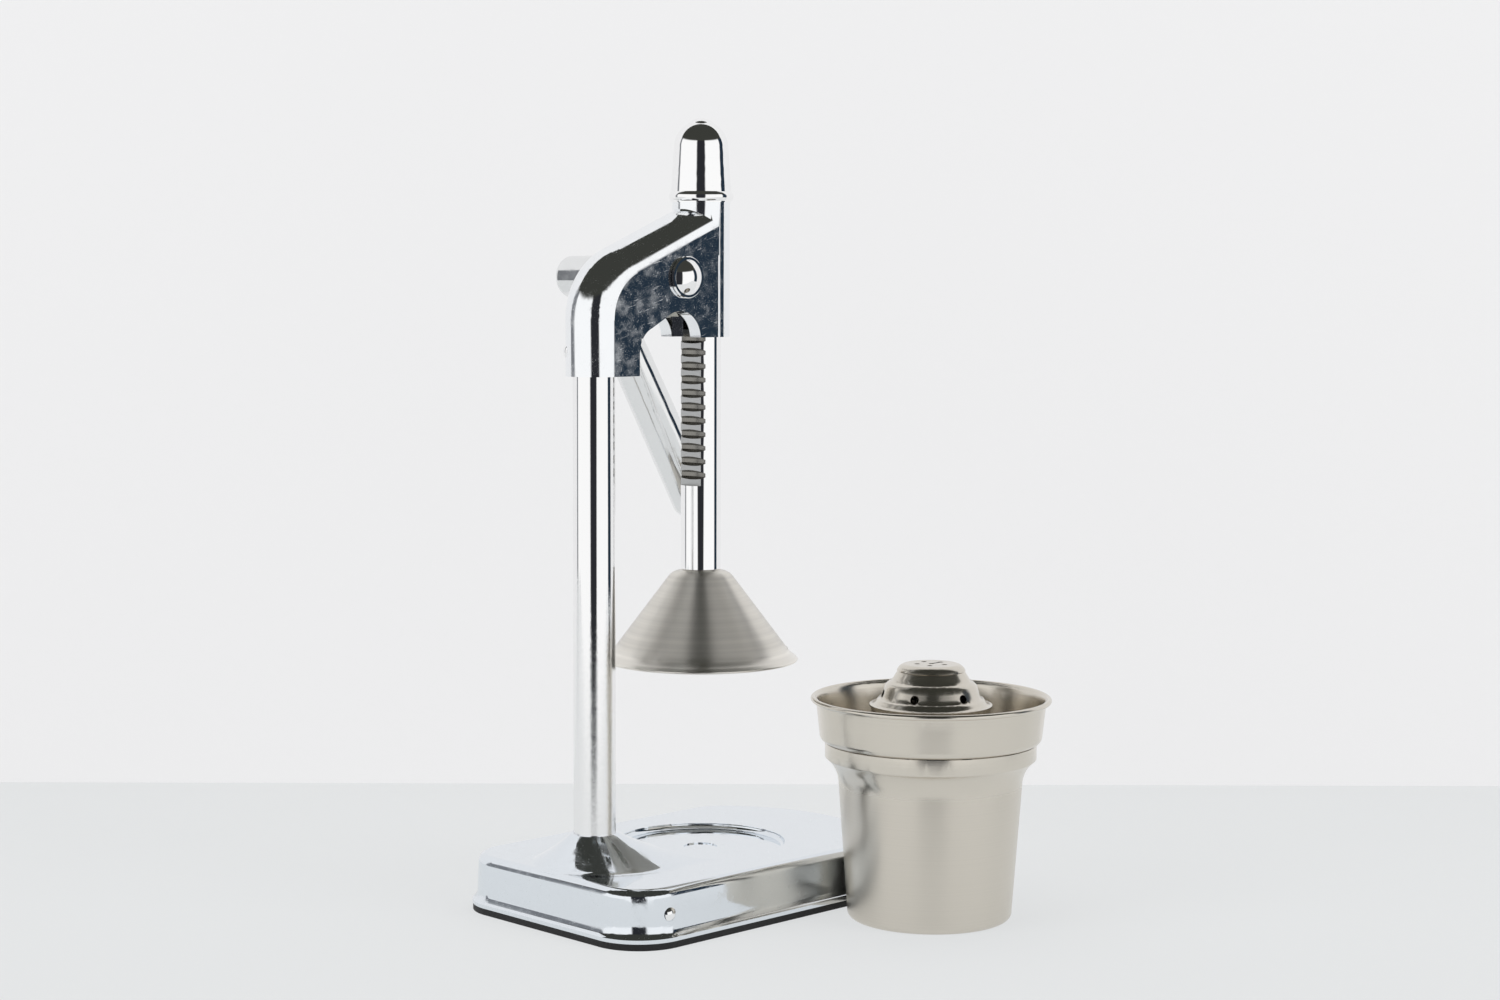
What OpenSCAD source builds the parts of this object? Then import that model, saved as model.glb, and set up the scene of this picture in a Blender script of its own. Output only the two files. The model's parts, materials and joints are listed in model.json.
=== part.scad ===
// Citrus press juicer: a rack and pinion press on a column, with a loose cup and strainer.
// Millimetres, +Z up. The origin is on the table straight below the axis of the press rod.
// +X runs from the column to the press rod, and the lever is on the +Y side.

/* [Base] */
// Half width of the base at its foot
base_half = 63.6; // [55:0.1:75]
// Distance from the rod axis back to the rear edge of the base
base_rear = 98.1; // [90:0.1:110]
// Radius of the two rear corners
rear_corner_r = 24; // [10:0.5:40]
// Radius of the bowed front edge
front_r = 80; // [70:0.5:95]
// Centre of the front bow, ahead of the rod axis
front_x = 12; // [5:0.5:20]
// Radius of the two front corners
front_corner_r = 26; // [12:0.5:40]
// Height of the flat top of the base
base_top = 26; // [20:0.5:40]
// Wall thickness of the base casting
base_wall = 2.6; // [2:0.1:4]
// Radius of the round edge around the top
edge_r = 4; // [2:0.5:6]
// Radius of the recess that the cup stands in
recess_r = 39.7; // [38.5:0.1:45]
// Depth of the recess
recess_depth = 2.6; // [1:0.1:4]
// Height of the rubber edging under the casting
edging_h = 3; // [2:0.1:5]

/* [Column] */
// Distance between the column axis and the rod axis
throat = 65.8; // [65.5:0.1:80]
// Outer radius of the column tube
column_r = 9.5; // [8:0.1:11]
// Wall thickness of the column tube
column_wall = 2; // [1.5:0.1:3]
// Height of the top of the mound that the column stands in
mound_top = 39.8; // [36:0.1:44]
// Top end of the column inside the head
column_top = 271.5; // [262:0.5:276]

/* [Head] */
// Half width of the head casting
head_half = 13.3; // [12.8:0.1:16]
// Underside of the collar around the column
collar_bottom = 246; // [240:0.5:250]
// Underside of the guide around the press rod
guide_bottom = 262.7; // [255:0.5:266]
// Top of the neck that carries the dome cap
neck_top = 324.3; // [322:0.1:334]
// Slope of the arm, in degrees
arm_slope = 22.5; // [20:0.1:26]

/* [Rack and pinion] */
// Module of the teeth
tooth_module = 2; // [1.5:0.25:2.5]
// Number of teeth on the pinion
pinion_teeth = 17; // [15:1:19]
// Height of the pinion axis
pinion_z = 290; // [285:0.5:295]
// Radius of the press rod
rod_r = 9.3; // [8:0.1:10.5]
// Depth of the tooth tips below the round face of the rod
tip_cut = 2.9; // [2:0.1:4]
// Length of the pinion teeth across the rack
pinion_face = 8; // [6:0.5:9]
// How far the lever turns from its rest, in degrees
lever_swing = 175; // [90:1:180]

/* [Press cone] */
// Radius of the lip of the press cone
cone_lip_r = 45.4; // [40:0.1:48]
// Height of the cone's lip at the bottom of the stroke
cone_bottom = 111.3; // [100:0.1:125]
// Height of the cone's top at the bottom of the stroke
cone_top = 154; // [145:0.5:165]
// Sheet thickness of the press cone
cone_wall = 1.6; // [1:0.1:2.5]

/* [Lever] */
// Distance of the lever from the middle plane of the press
lever_y = 49.5; // [45:0.5:60]
// Lean of the resting lever ahead of straight down, in degrees
lever_lean = 30.5; // [15:0.5:45]
// Length of the lever from the pinion axis to its end
lever_length = 134; // [100:1:220]
// Radius of the hub
hub_r = 10; // [9.5:0.1:12]
// Radius of the handle tube at its end
handle_end_r = 10.6; // [10:0.1:14]
// Radius of the pinion shaft
shaft_r = 5; // [4:0.1:6]

/* [Cup and strainer] */
// Where the cup stands, ahead of the rod axis
cup_x = 47.6; // [40:0.1:120]
// Gap between the foot of the cup and the side of the base
cup_gap = 0.5; // [0.5:0.1:60]
// Radius of the cup at its foot
cup_foot_r = 37.4; // [34:0.1:38.4]
// Radius of the ring around the cup's mouth
cup_mouth_r = 47.9; // [46:0.1:50]
// Height of the cup
cup_h = 80.5; // [72:0.5:90]
// Sheet thickness of cup and strainer
sheet = 1; // [0.8:0.1:1.5]
// Radius of the strainer's rim
rim_r = 54.5; // [53.5:0.1:56]
// Height of the strainer's rim over the cup's mouth
strainer_h = 20.5; // [18:0.1:26]
// Radius of the reamer dome at its foot
reamer_r = 27.8; // [25:0.1:32]
// Height of the reamer dome over the cup's mouth
reamer_h = 35.3; // [33:0.1:42]
// Number of holes around the reamer dome
reamer_holes = 6; // [4:1:8]

/* [Hidden] */
// Running clearance of a sliding or turning fit, on the radius
run_fit = 0.05;
// Clearance between pieces of different moving bodies
body_gap = 0.3;
// Clearance around the tips of the pinion
pinion_room = 1.2;
// Step by which a round stands proud of the flat sides that it joins, so that they cut cleanly
seam = 0.05;
// Overlap of the straight parts of the head into its bend
bend_lap = 1.5;
// Angle by which the bowed front ends short of its corner rounds
fan_short = 1;

pitch = PI * tooth_module;
pressure_angle = 20;
pinion_r = tooth_module * pinion_teeth / 2;
rack_addendum = 0.7 * tooth_module;
pinion_tip_r = pinion_r + 0.7 * tooth_module;
pinion_root_r = pinion_r - 0.85 * tooth_module;
// The rack faces the column: its tips, its pitch plane and the pinion axis
tip_x = rod_r - tip_cut;
rack_x = tip_x - rack_addendum;
pinion_x = -(rack_x + pinion_r);
// Width of a rack gap and of a pinion tooth on the pitch line, with play between them
rack_gap = 0.5 * pitch + 0.11;
pinion_tooth = 0.5 * pitch - 0.39;
cutter_r = 20;
rack_floor = rack_x - tooth_module;
cutter_x = -(rack_floor + cutter_r);
travel = pinion_r * lever_swing * PI / 180;
rod_top = pinion_z + 10;
teeth_down = 15;

shell_foot = edging_h;
foot_lip = 2.2;
wall_foot = 2.2;
wall_top = 2.8;
inner_wall = wall_top + base_wall - 0.4;
top_inset = wall_top + edge_r;
front_cy = base_half - front_corner_r;
front_dx = sqrt(pow(front_r - front_corner_r, 2) - pow(front_cy, 2));
front_cx = front_x + front_dx;
front_a = atan2(front_cy, front_dx);
rear_cx = -base_rear + rear_corner_r;
rear_cy = base_half - rear_corner_r;
recess_floor = base_top - recess_depth;

// The mound is a skirt turned about a tilted axis, with a hollow flank
mound_tilt = -6.8;
mound_arc = 87.6;
mound_reach = 65.9;
mound_lift = 81.7;
mound_limit = 57;
boss_r = 14;
boss_foot = 9;
socket_floor = 14;
bolt_r = 4;
plug_h = 24;
bolt_reach = 17;

rivet_x = -75.7;
rivet_z = 14.4;
rivet_wall = base_half - (wall_foot + wall_top) / 2;

corner_r = head_half - 0.8;
collar_back = 11.9;
crest_rear = -(throat + collar_back);
// The arm's crest runs out this far over the top of the neck, inside the cap
crest_rise = 2.3;
bend_r = 35;
bend_turn = 90 - arm_slope;
crest_cross = neck_top + crest_rise + crest_rear * tan(arm_slope);
bend_tangent = bend_r * tan(bend_turn / 2);
bend_x = crest_rear + bend_r;
bend_z = crest_cross - bend_tangent;
crest_depth = 24;
arm_length = (0 - crest_rear) / cos(arm_slope) - bend_tangent;
pocket_half = pinion_face / 2 + 2.2;
collar_front = -(throat - 15.8);
chamber_r = 11;
chamber_floor = rod_top - body_gap;
spigot_r = 12.2;
spigot_h = 4;
bush_r = 7;
collar_screw_z = collar_bottom + 11.1;
collar_screw_r = 2.5;
collar_screw_turn = -45;
collar_screw_seat = 11.7;
screw_dome_r = 3.9;
screw_dome_h = 2.1;
// Arch under the arm: centres and radii of its two rounds, and the ends of the web behind it
arch_rear_z = 256.2;
arch_rear_r = 12;
arch_front_x = -25.5;
arch_front_z = 262;
arch_front_r = 12.8;

cap_bead_r = 15;
cap_foot_r = 13.9;
cap_top_r = 12.6;
cap_wall = 1.4;
cap_top = neck_top + 38.6;
cap_bead_h = 5.4;
// The crown of the cap is pressed up into a button, which leaves a faint crease around it
button_rise = 0.9;
button_r = 9;

stop_r = 10.1;
stop_h = 1.6;
// Flat of the stop washer, which lets the pinion's tips pass
stop_flat = 5.8;
stop_screw_r = 2.5;
stop_head_r = 4.6;
screw_r = 4;

nut_r = 9.5;
nut_foot = 1.6;
nut_h = 5.6;
nut_y = -(head_half + body_gap);
washer_y = head_half + body_gap;
washer_h = 1.4;
hub_y = washer_y + washer_h;
hub_end = lever_y + 18;
hub_round = 3;
shaft_end = 41;
key_w = 3;
handle_r = 9.3;
handle_wall = 1.6;
handle_start = 8;
end_round = 9;
handle_end = lever_length - end_round;
stud_r = 5.4;
pin_r = 1.5;
pin_y = 26;

mouth_h = 9;
foot_round = 3;
flare_z = 61;
flare_r = 41.6;
flare_arc = 16;
cup_y = -(base_half + cup_foot_r + cup_gap);
strainer_z = cup_h + body_gap;
bowl_round = 3.2;
bowl_floor_r = cup_mouth_r - 0.7;
bowl_waist_r = bowl_floor_r + 4.7;
bead_r = 1.2;
collar_r = 27;
tier1_r = 18.8;
tier1_h = reamer_h - 7.8;
tier2_r = 22.9;
tier2_h = reamer_h - 15.6;
tier3_h = reamer_h - 19.2;
crown_r = 11.3;
hole_r = 2;
hole_h = tier2_h + 2;
crown_holes = 5;
crown_hole_r = 1.2;
drain_holes = 16;
drain_r = 36.5;
drain_hole_r = 2;
dimple_r = 7.9;
fine = 96;

// The plan of the base, drawn in from its foot by a distance
module base_plan(inset) {
    half = base_half - inset;
    difference() {
        translate([-base_rear + inset, -half])
            square([base_rear - inset + front_cx, 2 * half]);
        for (side = [-1, 1])
            translate([rear_cx - 60, side > 0 ? rear_cy : -rear_cy - 60]) square(60);
    }
    intersection() {
        translate([front_x, 0]) circle(r = front_r - inset, $fn = 2 * fine);
        front_fan();
    }
    for (side = [-1, 1]) {
        translate([rear_cx, side * rear_cy])
            circle(r = rear_corner_r - inset + seam, $fn = fine);
        translate([front_cx, side * front_cy])
            circle(r = front_corner_r - inset + seam, $fn = fine);
    }
}

// The part of the plan that the bowed front closes
module front_fan() {
    far = 2 * front_r;
    turn = front_a - fan_short;
    polygon([[front_x, 0], [front_x + far * cos(turn), far * sin(turn)],
             [front_x + far * cos(turn), -far * sin(turn)]]);
}

// Half section of the casting out to a distance: foot lip, leaning wall and round top edge
module edge_outline(reach) {
    polygon([[0, shell_foot], [reach, shell_foot], [reach, shell_foot + foot_lip - 0.5],
             [reach - 0.5, shell_foot + foot_lip], [reach - 1.1, shell_foot + foot_lip + 0.4],
             [reach - wall_foot, shell_foot + foot_lip + 2.4],
             [reach - wall_top, base_top - edge_r], [reach - top_inset, base_top],
             [0, base_top]]);
    intersection() {
        translate([reach - top_inset, base_top - edge_r]) circle(r = edge_r, $fn = fine);
        translate([reach - top_inset, base_top - edge_r]) square(2 * edge_r);
    }
}

// The casting before it is hollowed
module base_solid() {
    difference() {
        intersection() {
            translate([-base_rear, 0, 0]) rotate([90, 0, 90])
                linear_extrude(base_rear + front_cx) {
                    edge_outline(base_half);
                    mirror([1, 0]) edge_outline(base_half);
                }
            translate([0, base_half + 5, 0]) rotate([90, 0, 0])
                linear_extrude(2 * base_half + 10) {
                    mirror([1, 0]) edge_outline(base_rear);
                    translate([-1, shell_foot]) square([front_cx + 9, base_top - shell_foot]);
                }
        }
        for (side = [-1, 1])
            translate([rear_cx - 60, side > 0 ? rear_cy : -rear_cy - 60, 0]) cube(60);
    }
    intersection() {
        translate([front_x, 0, 0]) rotate_extrude($fn = 2 * fine) edge_outline(front_r);
        linear_extrude(60) front_fan();
    }
    for (side = [-1, 1]) {
        translate([rear_cx, side * rear_cy, 0])
            rotate_extrude($fn = 2 * fine) edge_outline(rear_corner_r + seam);
        translate([front_cx, side * front_cy, 0])
            rotate_extrude($fn = 2 * fine) edge_outline(front_corner_r + seam);
    }
}

// The skirt of the mound, standing on the column axis and leaning back
module mound(drop) {
    translate([-throat, 0, base_top - drop]) rotate([0, mound_tilt, 0])
        rotate_extrude($fn = 2 * fine) difference() {
            translate([0, -15]) square([mound_limit, 60]);
            translate([mound_reach, mound_lift]) circle(r = mound_arc, $fn = 3 * fine);
        }
}

// Space over the recess, with its rounded foot
module recess_space() {
    rotate_extrude($fn = 2 * fine) {
        polygon([[0, recess_floor], [recess_r - 2.1, recess_floor],
                 [recess_r, recess_floor + 2.1], [recess_r, base_top + 20], [0, base_top + 20]]);
        intersection() {
            translate([recess_r - 2.1, recess_floor + 2.1]) circle(r = 2.1, $fn = fine);
            translate([0, recess_floor]) square([recess_r, 2.1]);
        }
    }
}

module base_shell() {
    color("#c9ccd1") difference() {
        union() {
            difference() {
                base_solid();
                translate([0, 0, -1])
                    linear_extrude(base_top - base_wall + 1) base_plan(inner_wall);
            }
            intersection() {
                mound(0);
                translate([0, 0, base_top - base_wall / 2]) linear_extrude(20)
                    base_plan(wall_top + 1.6);
                translate([-throat - 60, -60, 0]) cube([120, 120, mound_top]);
            }
            translate([0, 0, recess_floor - base_wall])
                cylinder(r = recess_r + base_wall, h = recess_depth + 0.5, $fn = 2 * fine);
            translate([-throat, 0, boss_foot])
                cylinder(r = boss_r, h = base_top - boss_foot - 0.5, $fn = fine);
        }
        recess_space();
        translate([0, 0, recess_floor - 0.5]) cylinder(r = dimple_r, h = 1, $fn = fine);
        translate([-throat, 0, socket_floor])
            cylinder(r = column_r + run_fit, h = mound_top, $fn = fine);
        translate([-throat, 0, 0]) cylinder(r = bolt_r + 0.2, h = mound_top, $fn = fine);
        for (side = [-1, 1])
            translate([rivet_x, side * base_half, rivet_z]) rotate([90, 0, 0])
                cylinder(r = 1.6, h = 20, center = true, $fn = 48);
    }
}

module base_edging() {
    color("#1b1b1c") difference() {
        union() {
            linear_extrude(edging_h) base_plan(0.2);
            linear_extrude(edging_h + 4) base_plan(inner_wall + 0.1);
        }
        translate([0, 0, -1]) linear_extrude(edging_h + 8) base_plan(inner_wall + 2);
    }
}

module base_rivets() {
    color("#b9bcc1") for (side = [-1, 1])
        translate([rivet_x, side * rivet_wall, rivet_z]) rotate([side * -90, 0, 0])
            rotate_extrude($fn = 48) {
                intersection() {
                    translate([0, -2.8]) circle(r = 4.2, $fn = 48);
                    square([3.2, 3]);
                }
                translate([0, -4]) square([1.55, 4.2]);
                translate([0, -4.4]) square([2.6, 1.2]);
            }
}

module column_tube() {
    color("#d3d6da") translate([-throat, 0, socket_floor]) difference() {
        cylinder(r = column_r, h = column_top - socket_floor, $fn = fine);
        translate([0, 0, -1])
            cylinder(r = column_r - column_wall, h = column_top - socket_floor + 2, $fn = fine);
    }
}

module column_plug() {
    color("#8c8f94") translate([-throat, 0, socket_floor]) difference() {
        cylinder(r = column_r - column_wall, h = plug_h, $fn = fine);
        translate([0, 0, -1]) cylinder(r = bolt_r, h = bolt_reach + 1, $fn = 48);
    }
}

module column_washer() {
    color("#9a9da2") translate([-throat, 0, boss_foot - washer_h]) difference() {
        cylinder(r = 10, h = washer_h, $fn = fine);
        translate([0, 0, -1]) cylinder(r = bolt_r + 0.2, h = 4, $fn = 48);
    }
}

module column_bolt() {
    grip = socket_floor - boss_foot + washer_h + bolt_reach;
    color("#8c8f94") translate([-throat, 0, boss_foot - washer_h]) {
        translate([0, 0, -5]) cylinder(r = 7.5, h = 5, $fn = 6);
        translate([0, 0, -0.5]) cylinder(r = bolt_r, h = grip, $fn = 48);
    }
}

// Section of the arm, grown by a step: the crest is at the origin and the arm hangs below it
module arm_section(grow) {
    half = head_half + grow;
    round_r = corner_r + grow;
    for (side = [-1, 1])
        translate([side * (half - round_r), grow - round_r]) circle(r = round_r, $fn = fine);
    translate([-(half - round_r), grow - round_r]) square([2 * (half - round_r), round_r]);
    translate([-half, -crest_depth]) square([2 * half, crest_depth + grow - round_r]);
}

// The rounded back of the head: up the column, around the bend and along the arm
module head_back() {
    translate([crest_rear, 0, collar_bottom]) rotate([0, 0, 90])
        linear_extrude(bend_z - collar_bottom + bend_lap) arm_section(0);
    translate([bend_x, 0, bend_z]) rotate([90, 0, 0]) rotate([0, 0, 180])
        rotate([0, 0, -bend_turn])
            rotate_extrude(angle = bend_turn, $fn = 2 * fine)
                translate([bend_r, 0]) rotate([0, 0, -90]) arm_section(seam);
    intersection() {
        translate([bend_x - bend_r * sin(arm_slope), 0, bend_z + bend_r * cos(arm_slope)])
            rotate([0, -arm_slope, 0]) rotate([90, 0, 90]) translate([0, 0, -bend_lap])
                linear_extrude(arm_length + 10) arm_section(0);
        translate([-100, -20, collar_bottom]) cube([100, 40, 100]);
    }
}

// The open arch under the arm, seen from the side
module arch_outline() {
    rear = [collar_front + arch_rear_r, arch_rear_z];
    front = [arch_front_x, arch_front_z];
    foot = collar_bottom - 10;
    lean = atan2(front[1] - rear[1], front[0] - rear[0]);
    across = [cos(lean + 90), sin(lean + 90)];
    translate(rear) circle(r = arch_rear_r, $fn = fine);
    translate(front) circle(r = arch_front_r, $fn = fine);
    polygon([[collar_front - seam, foot], [collar_front - seam, rear[1]],
             rear + (arch_rear_r - seam) * across, front + (arch_front_r - seam) * across,
             [front[0] + arch_front_r + seam, front[1]],
             [front[0] + arch_front_r + seam, foot]]);
    translate([collar_front + 1, foot])
        square([head_half - collar_front + 4, guide_bottom - foot]);
}

module head_casting() {
    color("#cfd2d6") difference() {
        union() {
            head_back();
            rotate([90, 0, 0]) linear_extrude(2 * (head_half - seam), center = true)
                polygon([[-62, collar_bottom], [-62, 270], [-52, 284], [0, 307],
                         [0, guide_bottom], [-40, guide_bottom], [-40, collar_bottom]]);
            translate([0, 0, guide_bottom])
                cylinder(r = head_half + seam, h = neck_top - guide_bottom, $fn = fine);
            translate([0, 0, neck_top - 1]) cylinder(r = spigot_r, h = spigot_h + 1, $fn = fine);
        }
        rotate([90, 0, 0]) linear_extrude(80, center = true) arch_outline();
        // Pocket of the pinion, open into the arch
        rotate([90, 0, 0]) linear_extrude(2 * pocket_half, center = true) {
            translate([pinion_x, pinion_z])
                circle(r = pinion_tip_r + pinion_room, $fn = 2 * fine);
            translate([pinion_x - 17, 255]) square([30, pinion_z - 262]);
        }
        translate([0, 0, guide_bottom - 1])
            cylinder(r = rod_r + run_fit, h = neck_top, $fn = fine);
        translate([0, 0, chamber_floor])
            cylinder(r = chamber_r, h = neck_top, $fn = fine);
        translate([-throat, 0, collar_bottom - 1])
            cylinder(r = column_r + run_fit, h = column_top - collar_bottom + 1, $fn = fine);
        translate([pinion_x, 0, pinion_z]) rotate([90, 0, 0])
            cylinder(r = bush_r, h = 80, center = true, $fn = fine);
        at_collar_screw() {
            cylinder(r = collar_screw_r, h = 2 * collar_screw_seat, $fn = 48);
            translate([0, 0, collar_screw_seat]) cylinder(r = screw_dome_r + 0.1, h = 5, $fn = 48);
        }
    }
}

// Places a piece on the axis of the set screw, from the middle of the column outwards
module at_collar_screw() {
    translate([-throat, 0, collar_screw_z]) rotate([0, 0, collar_screw_turn])
        rotate([0, -90, 0]) children();
}

module collar_screw() {
    ball = (pow(screw_dome_r, 2) + pow(screw_dome_h, 2)) / (2 * screw_dome_h);
    color("#b9bcc1") at_collar_screw() {
        translate([0, 0, column_r])
            cylinder(r = collar_screw_r, h = collar_screw_seat - column_r + 1, $fn = 48);
        translate([0, 0, collar_screw_seat]) rotate_extrude($fn = 48) intersection() {
            translate([0, screw_dome_h - ball]) circle(r = ball, $fn = fine);
            square([screw_dome_r, 4]);
        }
    }
}

module shaft_bushes() {
    color("#b5924a") for (side = [-1, 1])
        translate([pinion_x, side * (pocket_half + head_half) / 2, pinion_z]) rotate([90, 0, 0])
            difference() {
                cylinder(r = bush_r, h = head_half - pocket_half, center = true, $fn = fine);
                cylinder(r = shaft_r + run_fit, h = 20, center = true, $fn = fine);
            }
}

module dome_cap() {
    centre = cap_top - button_rise - cap_top_r;
    color("#d3d6da") rotate_extrude($fn = fine) difference() {
        union() {
            polygon([[0, neck_top], [cap_foot_r, neck_top], [cap_foot_r, neck_top + cap_bead_h],
                     [cap_top_r, centre], [0, centre]]);
            intersection() {
                translate([0, centre]) circle(r = cap_top_r, $fn = fine);
                translate([0, centre]) square([20, 20]);
            }
            intersection() {
                translate([0, cap_top - button_r]) circle(r = button_r, $fn = fine);
                translate([0, centre]) square([20, 20]);
            }
            translate([cap_bead_r - cap_bead_h / 2, neck_top + cap_bead_h / 2])
                circle(r = cap_bead_h / 2, $fn = 48);
            translate([cap_top_r - 1, neck_top]) square([cap_bead_r - cap_top_r - 1, cap_bead_h]);
        }
        translate([-1, neck_top - 1]) square([spigot_r + run_fit + 1, spigot_h + 1.2]);
        translate([-1, neck_top]) square([cap_top_r - cap_wall + 1, centre - neck_top]);
        translate([0, centre]) circle(r = cap_top_r - cap_wall, $fn = fine);
        translate([-30, 0]) square([30, cap_top + 10]);
    }
}

// All gaps of the rack in one comb, turned about the axis of the disc cutter
module rack_comb() {
    slope = tan(pressure_angle);
    mid = -rack_x - cutter_x;
    back = 14;
    half_floor = rack_gap / 2 - (cutter_r - mid) * slope;
    half_mouth = rack_gap / 2 + (mid - back) * slope;
    translate([cutter_x, 0, pinion_z]) rotate_extrude($fn = 2 * fine)
        polygon(concat([[back - 2, 2 * pitch]],
            [for (step = [-2:teeth_down - 1])
                let (mid_z = -(step + 0.5) * pitch)
                for (point = [[back, half_mouth], [cutter_r, half_floor],
                              [cutter_r, -half_floor], [back, -half_mouth]])
                    [point[0], mid_z + point[1]]],
            [[back - 2, -teeth_down * pitch]]));
}

module press_rod() {
    flat_foot = pinion_z - (teeth_down + 0.28) * pitch;
    color("#d3d6da") difference() {
        union() {
            translate([0, 0, cone_top + 1])
                cylinder(r = rod_r, h = rod_top - cone_top - 1, $fn = fine);
            translate([0, 0, cone_top]) cylinder(r1 = rod_r - 1, r2 = rod_r, h = 1, $fn = fine);
        }
        // The flat that carries the tooth tips
        translate([-tip_x - 10, -12, flat_foot]) cube([10, 24, 200]);
        rack_comb();
        translate([0, 0, cone_top - 1]) cylinder(r = screw_r, h = 22, $fn = 48);
        translate([0, 0, rod_top - 18]) cylinder(r = stop_screw_r, h = 20, $fn = 48);
    }
}

module stop_washer() {
    color("#8c8f94") translate([0, 0, rod_top]) difference() {
        cylinder(r = stop_r, h = stop_h, $fn = fine);
        translate([0, 0, -1]) cylinder(r = stop_screw_r + 0.2, h = 4, $fn = 48);
        translate([-stop_flat - stop_r, -stop_r - 1, -1]) cube([stop_r, 2 * stop_r + 2, 4]);
    }
}

module stop_screw() {
    color("#8c8f94") translate([0, 0, rod_top + stop_h]) difference() {
        union() {
            cylinder(r = stop_head_r, h = 3, $fn = 48);
            translate([0, 0, -16]) cylinder(r = stop_screw_r, h = 16.5, $fn = 48);
        }
        translate([0, 0, 1]) cylinder(r = 2.4, h = 4, $fn = 6);
    }
}

// Outline of the cone's wall, thinned by a depth from the outside
module cone_outline(depth) {
    slope = (cone_lip_r - 1.8 - 12.97) / (cone_top - cone_bottom - 1.6);
    low = 12.97 + (cone_top - cone_bottom) * slope - depth * sqrt(1 + slope * slope);
    high = low - (cone_top - cone_bottom) * slope;
    polygon([[0, cone_bottom - 1], [low + slope, cone_bottom - 1],
             [high + 2.8 * slope + depth * slope, cone_top - 2.8 - depth],
             [9.5, cone_top - depth], [0, cone_top - depth]]);
    intersection() {
        translate([9.5, cone_top - 7]) circle(r = 7 - depth, $fn = fine);
        translate([0, cone_top - 7]) square([30, 7]);
    }
}

module press_cone() {
    color("#b9b7b2") rotate_extrude($fn = 2 * fine) difference() {
        union() {
            intersection() {
                cone_outline(0);
                translate([0, cone_bottom]) square([60, 60]);
            }
            polygon([[cone_lip_r - 4, cone_bottom], [cone_lip_r - 0.4, cone_bottom],
                     [cone_lip_r, cone_bottom + 0.4], [cone_lip_r, cone_bottom + 0.9],
                     [cone_lip_r - 2.4, cone_bottom + 2.6], [cone_lip_r - 4, cone_bottom + 2.6]]);
        }
        cone_outline(cone_wall);
        square([screw_r + 0.2, 200]);
    }
}

module cone_washer() {
    color("#9a9da2") translate([0, 0, cone_top - cone_wall - 1.5]) difference() {
        cylinder(r = 8, h = 1.5, $fn = fine);
        translate([0, 0, -1]) cylinder(r = screw_r + 0.2, h = 4, $fn = 48);
    }
}

module cone_screw() {
    color("#8c8f94") translate([0, 0, cone_top - cone_wall - 1.5]) {
        rotate([180, 0, 0]) rotate_extrude($fn = 48) intersection() {
            translate([0, -3.2]) circle(r = 7.2, $fn = fine);
            square([6.4, 5]);
        }
        translate([0, 0, -0.5]) cylinder(r = screw_r, h = 20, $fn = 48);
    }
}

// Angle of the involute, in degrees, at a radius outside its base circle
function involute(base, radius) =
    let (turn = acos(base / radius)) 180 / PI * tan(turn) - turn;

// Flank angle of a pinion tooth, from the middle of the tooth, at a radius
function flank(radius) =
    let (base = pinion_r * cos(pressure_angle))
    90 * pinion_tooth / (PI * pinion_r) + involute(base, pinion_r)
        - involute(base, max(radius, base + 0.001));

// One flank of a tooth at an angle, from root to tip
function flank_points(side, turn) = [
    for (step = [0:8])
        let (radius = pinion_root_r + (pinion_tip_r - pinion_root_r) * step / 8,
             angle = turn + side * flank(radius))
        radius * [cos(angle), sin(angle)]
];

module pinion_outline() {
    polygon([for (tooth = [0:pinion_teeth - 1])
        let (turn = (tooth + 0.5) * 360 / pinion_teeth, high = flank_points(1, turn))
        each concat(flank_points(-1, turn), [for (step = [8:-1:0]) high[step]])]);
}

module pinion() {
    color("#8f8a80") translate([pinion_x, 0, pinion_z]) rotate([90, 0, 0]) difference() {
        union() {
            linear_extrude(pinion_face, center = true) pinion_outline();
            cylinder(r = 8.5, h = 2 * (pocket_half - body_gap), center = true, $fn = fine);
        }
        cylinder(r = shaft_r, h = 40, center = true, $fn = fine);
        translate([-key_w / 2, 0, -20]) cube([key_w, shaft_r + 1.5, 40]);
    }
}

// The key lies half in the shaft and half in the pinion
module pinion_key() {
    color("#6f7277") translate([pinion_x - key_w / 2, -pinion_face / 2, pinion_z + shaft_r - 1.5])
        cube([key_w, pinion_face, 3]);
}

module pinion_shaft() {
    color("#9a9da2") translate([pinion_x, 0, pinion_z]) rotate([-90, 0, 0]) difference() {
        union() {
            translate([0, 0, nut_y]) cylinder(r = shaft_r, h = shaft_end - nut_y, $fn = fine);
            translate([0, 0, nut_y - 3.5]) cylinder(r = 3, h = 4, $fn = 48);
        }
        translate([-key_w / 2, -shaft_r - 1, -pinion_face / 2 - 0.2])
            cube([key_w, 2.5, pinion_face + 0.4]);
        translate([0, 0, pin_y]) rotate([90, 0, 0])
            cylinder(r = pin_r, h = 40, center = true, $fn = 48);
    }
}

module cap_nut() {
    color("#d3d6da") translate([pinion_x, nut_y, pinion_z]) rotate([90, 0, 0]) difference() {
        rotate_extrude($fn = fine) {
            polygon([[0, 0], [nut_r - 0.4, 0], [nut_r, 0.4], [nut_r, nut_foot - 0.4],
                     [nut_r - 0.4, nut_foot], [0, nut_foot]]);
            intersection() {
                translate([0, nut_h - 10]) circle(r = 10, $fn = fine);
                translate([0, nut_foot - 0.2]) square([nut_r - 1.2, nut_h]);
            }
        }
        translate([0, 0, -1]) cylinder(r = 3, h = 4.5, $fn = 48);
    }
}

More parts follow.
